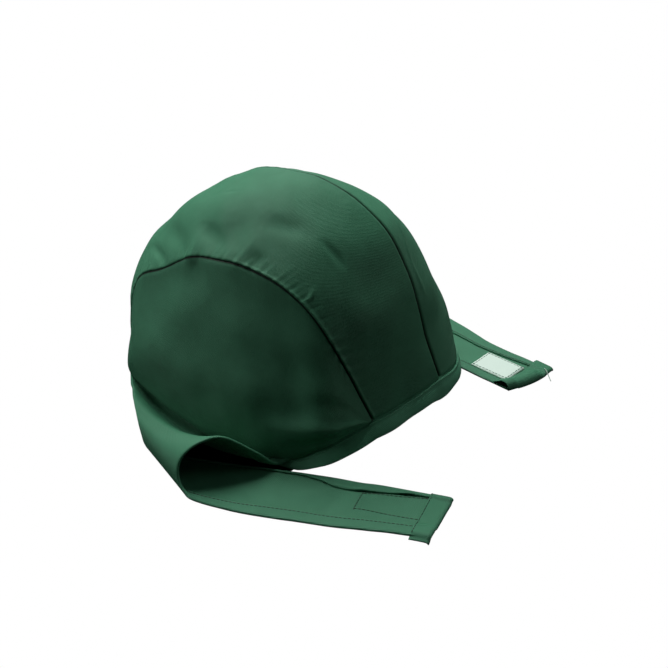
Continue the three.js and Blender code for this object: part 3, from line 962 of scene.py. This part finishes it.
def rim_hem(name):
    """The hem as one closed tube of folded cloth along the rim."""
    top, bottom, top_out, bottom_out = hem_lines()
    down = HEM_PROFILE["down"][None, :, None]
    out = HEM_PROFILE["out"][None, :, None]
    direction = unit(between(top_out[:, None], bottom_out[:, None], down))
    base = between(top[:, None], bottom[:, None], down)
    wobble = soft_waves(top)[:, None, None]
    ring = base + direction * (out + wobble)
    ring[:, :, 2] = np.maximum(ring[:, :, 2], TABLE_GAP)
    stations, count = ring.shape[:2]
    at = np.arange(stations * count).reshape(stations, count)
    beside = np.roll(at, -1, axis=1)
    faces = np.stack([at[:-1], beside[:-1], beside[1:], at[1:]], axis=-1).reshape(-1, 4)[:, ::-1].tolist()
    faces += [at[0].tolist(), at[-1, ::-1].tolist()]
    along = running_length(top)
    across = running_length(np.swapaxes(ring, 0, 1)).T
    flat = flat_places(across, along)
    # The hem takes the lighter copy of the cotton: painted light
    pieces[name] = new_piece(name, ring.reshape(-1, 3), faces, flat, HEM_COTTON_PAINTED_LIGHTER)
    height = np.linalg.norm(bottom - top, axis=1)
    area = float(np.sum((height[1:] + height[:-1]) / 2 * np.diff(along))) * MM * MM
    sheets[name] = (float(height.max()) * MM, float(along[-1]) * MM, area)


rim_hem("rim_hem")

# Hook-and-loop patches

PATCH_STEPS = 14
PATCH_EASE = 0.25


def patch_places(patch, u, v, height):
    """Places at distances along and across from a patch's middle."""
    turn = math.radians(patch["turn"])
    x = patch["x"] + u * math.cos(turn) - v * math.sin(turn)
    y = patch["y"] + u * math.sin(turn) + v * math.cos(turn)
    return np.stack([x, y, np.broadcast_to(height, x.shape)], axis=-1)


def patch_piece(name, patch, low, high):
    """A flat patch between two heights over the table, its top eased at the edges."""
    shares = np.linspace(-0.5, 0.5, PATCH_STEPS)
    u, v = np.meshgrid(shares * patch["length"], shares * patch["width"], indexing="ij")
    top_height = np.full_like(u, high - PATCH_EASE)
    top_height[1:-1, 1:-1] = high
    top = patch_places(patch, u, v, top_height)
    bottom = patch_places(patch, u, v, low)
    pieces[name], sheets[name] = wall_piece(name, top, bottom, TAPE, turned=True)


HOOK_LOW = TAIL_CLOTH / 2 + BODY_TOP
PATCH_TOP = HOOK_LOW + HOOK_PATCH["thickness"]
patch_piece("hook_patch", HOOK_PATCH, HOOK_LOW, PATCH_TOP)
patch_piece("loop_patch", LOOP_PATCH, TABLE_GAP, LOOP_PATCH["thickness"])

# Rows of stitches

STITCH_PITCH = 2.4
STITCH_SHARE = 0.9
THREAD_WIDTH = 0.42
# Width of the near-black stitches that paint the shade of a sunk stitch line
PAINTED_SHADE_STITCH_WIDTH = 0.6
BEAD = {"Segments": 8, "Rings": 6, "Radius": 1.0}


def stitch_tree(thread, width):
    """Nodes that lay a stitch at each pitch of a line."""
    tree = bpy.data.node_groups.new("stitch_row", "GeometryNodeTree")
    for way in ("INPUT", "OUTPUT"):
        tree.interface.new_socket("Geometry", in_out=way, socket_type="NodeSocketGeometry")
    line = add_node(tree, "NodeGroupInput").outputs["Geometry"]
    points = add_node(tree, "GeometryNodeCurveToPoints", {"mode": "LENGTH"}, {
        "Curve": line, "Length": STITCH_PITCH * MM})
    bead = add_node(tree, "GeometryNodeMeshUVSphere", inputs=BEAD)
    half = width / 2 * MM
    half_length = STITCH_PITCH * STITCH_SHARE / 2 * MM
    laid = add_node(tree, "GeometryNodeInstanceOnPoints", inputs={
        "Points": points.outputs["Points"], "Instance": bead.outputs["Mesh"],
        "Rotation": points.outputs["Rotation"], "Scale": (half, half, half_length)})
    shape = laid.outputs["Instances"]
    for kind in ("GeometryNodeRealizeInstances", "GeometryNodeSetShadeSmooth", "GeometryNodeSetMaterial"):
        node = add_node(tree, kind, inputs={"Geometry": shape})
        shape = node.outputs["Geometry"]
    node.inputs["Material"].default_value = thread
    add_node(tree, "NodeGroupOutput", inputs={"Geometry": shape})
    return tree


def curve_of_lines(name, lines):
    """A curve object through lines of millimetre points."""
    curve = bpy.data.curves.new(name + "_line", "CURVE")
    curve.dimensions = "3D"
    for line in lines:
        spline = curve.splines.new("POLY")
        spline.points.add(len(line) - 1)
        places = np.ones((len(line), 4))
        places[:, :3] = (line - ORIGIN) * MM
        spline.points.foreach_set("co", places.ravel())
    return add_object(name + "_line", curve)


def shown_mesh(name, holder):
    """A plain mesh of what a curve object shows, in that object's stead."""
    bpy.context.view_layer.update()
    graph = bpy.context.evaluated_depsgraph_get()
    mesh = bpy.data.meshes.new_from_object(holder.evaluated_get(graph), depsgraph=graph)
    mesh.name = name
    bpy.data.objects.remove(holder)
    pieces[name] = add_object(name, mesh)
    return mesh


def stitch_piece(name, lines, thread, width=THREAD_WIDTH):
    """Stitches along lines of millimetre points, as one plain mesh."""
    holder = curve_of_lines(name, lines)
    holder.modifiers.new("stitches", "NODES").node_group = stitch_tree(thread, width)
    shown_mesh(name, holder)


LINE_STEPS = 90
SHORT_LINE_STEPS = 30
HEM_STITCH_FROM = 0.55
HEM_STITCH_TO = 0.985
STITCH_SHARE_OF_FOLD = 0.86
STITCH_RISE = 0.05
END_LINE_MARGIN = 1.0
END_STITCH_INSET = END_FOLD - 0.6
ADDRESS_ALONG = np.linspace(0.55, 1, 260)
ADDRESS_ACROSS = np.linspace(0, 1, 90)
BOX_STITCH = (
    ((91.1, -81.9), (107.2, -75.5), (123.6, -69.9)),
    ((92.6, -96.8), (112.5, -92.4), (131.0, -88.3)),
    ((90.0, -82.4), (92.1, -96.9)),
)


def hem_line(tail, edge):
    """A line of stitching near the inner edge of a tail's turned hem."""
    along = np.linspace(HEM_STITCH_FROM, HEM_STITCH_TO, LINE_STEPS)
    aside = fold_width(tail, edge, along) * STITCH_SHARE_OF_FOLD
    if edge == "front":
        aside = tail_width(tail, along) - aside
    return tail_place(tail, along, aside, FOLD_TOP)


def tail_address(tail, places):
    """Share along and distance from the rear edge of places given in the table's plane."""
    along, across = (grid.ravel() for grid in np.meshgrid(ADDRESS_ALONG, ADDRESS_ACROSS, indexing="ij"))
    points = tail_point(tail, along, across)[:, :2]
    nearest = [int(np.argmin(np.sum((points - place) ** 2, axis=1))) for place in np.array(places)]
    return along[nearest], across[nearest] * tail_width(tail, along[nearest])


def table_line(tail, places):
    """A line over a tail's body through places given in the table's plane."""
    share = np.linspace(0, 1, SHORT_LINE_STEPS)
    marks = np.linspace(0, 1, len(places))
    along, aside = (np.interp(share, marks, values) for values in tail_address(tail, places))
    return tail_place(tail, along, aside, BODY_TOP + STITCH_RISE)


def end_line(tail):
    """A line of stitching across a tail, on top of its folded end."""
    width = float(tail_width(tail, np.ones(1))[0])
    aside = np.linspace(END_LINE_MARGIN, width - END_LINE_MARGIN, SHORT_LINE_STEPS)
    along = np.full(SHORT_LINE_STEPS, float(end_share(tail, END_STITCH_INSET)))
    return tail_place(tail, along, aside, flap_base(tail, aside) + FLAP_CLOTH / 2)


# The tails' stitches are near-black thread, painting the shade along the sunk stitch lines
right_lines = [hem_line(RIGHT_TAIL, "front"), end_line(RIGHT_TAIL)]
right_lines += [table_line(RIGHT_TAIL, places) for places in BOX_STITCH]
stitch_piece("tail_right_stitches", right_lines, STITCH_SHADE_PAINTED_THREAD, width=PAINTED_SHADE_STITCH_WIDTH)
left_lines = [hem_line(LEFT_TAIL, "rear"), hem_line(LEFT_TAIL, "front")]
stitch_piece("tail_left_stitches", left_lines, STITCH_SHADE_PAINTED_THREAD, width=PAINTED_SHADE_STITCH_WIDTH)

PATCH_STITCH_INSET = 0.07
PATCH_LINE_STEPS = 12


def patch_lines(patch, height):
    """A stitched rectangle a little inside a patch's edges."""
    long = patch["length"] * 0.5 - PATCH_STITCH_INSET * patch["width"]
    wide = patch["width"] * (0.5 - PATCH_STITCH_INSET)
    corners = np.array([(-long, -wide), (long, -wide), (long, wide), (-long, wide), (-long, -wide)])
    share = np.linspace(0, 1, PATCH_LINE_STEPS)[:, None]
    lines = []
    for start, end in zip(corners[:-1], corners[1:]):
        u, v = between(start, end, share).T
        lines.append(patch_places(patch, u, v, height))
    return lines


stitch_piece("hook_patch_stitches", patch_lines(HOOK_PATCH, PATCH_TOP), THREAD)

HEM_STITCH_DOWN = 0.07
HEM_STITCH_OUT = 0.55
hem_top, hem_bottom, hem_top_out, _ = hem_lines()
hem_row = between(hem_top, hem_bottom, HEM_STITCH_DOWN)
hem_row += hem_top_out * (HEM_STITCH_OUT + soft_waves(hem_top))[:, None]
stitch_piece("rim_hem_stitches", [hem_row], PALE_THREAD)

# A loose thread at the left tail's end

LOOSE_THREAD = np.array([[129.5, 82.5, 3.4], [131.5, 80.0, 4.2], [134.0, 77.5, 3.0], [137.0, 74.6, 1.2]])
LOOSE_WIDTH = 0.5
THREAD_STEPS = 24
THREAD_ROUNDNESS = 3


def thread_piece(name, points, width, material):
    """A thread as a thin round tube along a smooth line."""
    holder = curve_of_lines(name, [smooth_curve(points, np.linspace(0, 1, THREAD_STEPS))])
    holder.data.bevel_depth = width / 2 * MM
    holder.data.bevel_resolution = THREAD_ROUNDNESS
    holder.data.use_fill_caps = True
    mesh = shown_mesh(name, holder)
    mesh.materials.clear()
    mesh.materials.append(material)
    mesh.polygons.foreach_set("use_smooth", [True] * len(mesh.polygons))


thread_piece("loose_thread", LOOSE_THREAD, LOOSE_WIDTH, GREY_THREAD)

# Pieces on the frame

STANDS_FOR = {
    "crown_panel_right": [],
    "crown_panel_left": [],
    "side_panel_right": [],
    "side_panel_left": [],
    "rim_hem": ["rim_hem_stitches"],
    "tail_right": ["tail_right_end", "tail_right_stitches"],
    "tail_left": ["tail_left_end", "tail_left_stitches", "loose_thread"],
    "hook_patch": ["hook_patch_stitches"],
    "loop_patch": [],
}

for node, others in STANDS_FOR.items():
    for name in [node, *others]:
        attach(pieces[name], "root")
        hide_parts(node)

# Table, light and camera, with the table's radius and the lamps' places and sizes in metres

WHITE = (1, 1, 1, 1)
TABLE_RADIUS = 2.0
SHADED = (
    (-72, -48), (-56, -66), (-36, -88), (-27, -99), (-16, -101), (4, -97),
    (34, -88), (41, -86.5), (43, -77), (10, -30), (-60, -30),
)


def table_material(name, brightness):
    """A table top of even brightness, however the lamps stand."""
    return new_material(name, "ShaderNodeEmission", {"Color": WHITE, "Strength": brightness})[0]


def lit_table():
    """A table top seen as pure white, black in the shade under the cap, that gives the cap no light."""
    shade = np.array([(x - ORIGIN[0], y - ORIGIN[1], 0.0) for x, y in SHADED]) * MM
    middle = shade.mean(axis=0)
    edge = middle + unit(shade - middle) * TABLE_RADIUS
    count = len(shade)
    ring = [(i, i + count, (i + 1) % count + count, (i + 1) % count) for i in range(count)]
    mesh = bpy.data.meshes.new("table_top")
    mesh.from_pydata(np.concatenate([shade, edge]).tolist(), [], [tuple(range(count)), *ring])
    mesh.materials.append(table_material("table_in_deep_shade", 0.0))
    mesh.materials.append(table_material("white_table", 1.0))
    mesh.polygons.foreach_set("material_index", [0] + [1] * count)
    top = add_object("table_top", mesh)
    top.visible_diffuse = False
    top.visible_glossy = False
    top.visible_shadow = False


def area_light(name, place, aim, size, power):
    light = bpy.data.lights.new(name, "AREA")
    light.shape = "DISK"
    light.size = size
    light.energy = power
    lamp = add_object(name, light)
    lamp.location = place
    lamp.rotation_euler = (Vector(aim) - Vector(place)).to_track_quat("-Z", "Y").to_euler()


LAMPS = {
    "overhead": {"place": (-0.36, 0.29, 0.93), "aim": (0, 0, 0.08), "size": 0.75, "power": 13.4},
    "left_fill": {"place": (-1.28, -0.68, 0.5), "aim": (0, 0, 0.06), "size": 0.8, "power": 5},
    "front_fill": {"place": (1.19, 0.63, 0.5), "aim": (0, 0, 0.06), "size": 0.6, "power": 2.6},
}
lit_table()
for lamp_name, lamp_settings in LAMPS.items():
    area_light(lamp_name, **lamp_settings)

# Room light from above only, as the table hides the room below it

ROOM_LIGHT = 0.03
world = bpy.data.worlds.new("studio")
world.use_nodes = True
room = world.node_tree
facing = add_node(room, "ShaderNodeTexCoord").outputs["Generated"]
upward = add_node(room, "ShaderNodeSeparateXYZ", inputs={"Vector": facing}).outputs["Z"]
above = add_node(room, "ShaderNodeMath", {"operation": "GREATER_THAN"}, {0: upward, 1: 0.0})
level = multiply_add(room, above.outputs["Value"], ROOM_LIGHT, 0.0)
room.links.new(level, room.nodes["Background"].inputs["Strength"])
room.nodes["Background"].inputs["Color"].default_value = WHITE
bpy.context.scene.world = world
bpy.context.scene.view_settings.view_transform = "Standard"

CAMERA_AZIMUTH = math.radians(28)
CAMERA_ELEVATION = math.radians(32)
CAMERA_DISTANCE = 1200
CAMERA_TARGET = np.array([28.0, 0.0, 44.0])
SENSOR = 36.0
IMAGE_PIXELS = 668
FOCAL_PIXELS = 2040
toward = np.array([
    math.sin(CAMERA_AZIMUTH) * math.cos(CAMERA_ELEVATION),
    -math.cos(CAMERA_AZIMUTH) * math.cos(CAMERA_ELEVATION),
    math.sin(CAMERA_ELEVATION),
])
camera_data = bpy.data.cameras.new("camera")
camera_data.sensor_width = SENSOR
camera_data.lens = SENSOR * FOCAL_PIXELS / IMAGE_PIXELS
camera = add_object("camera", camera_data)
camera.location = Vector((CAMERA_TARGET + CAMERA_DISTANCE * toward - ORIGIN) * MM)
camera.rotation_euler = Vector(-toward).to_track_quat("-Z", "Y").to_euler()
bpy.context.scene.camera = camera
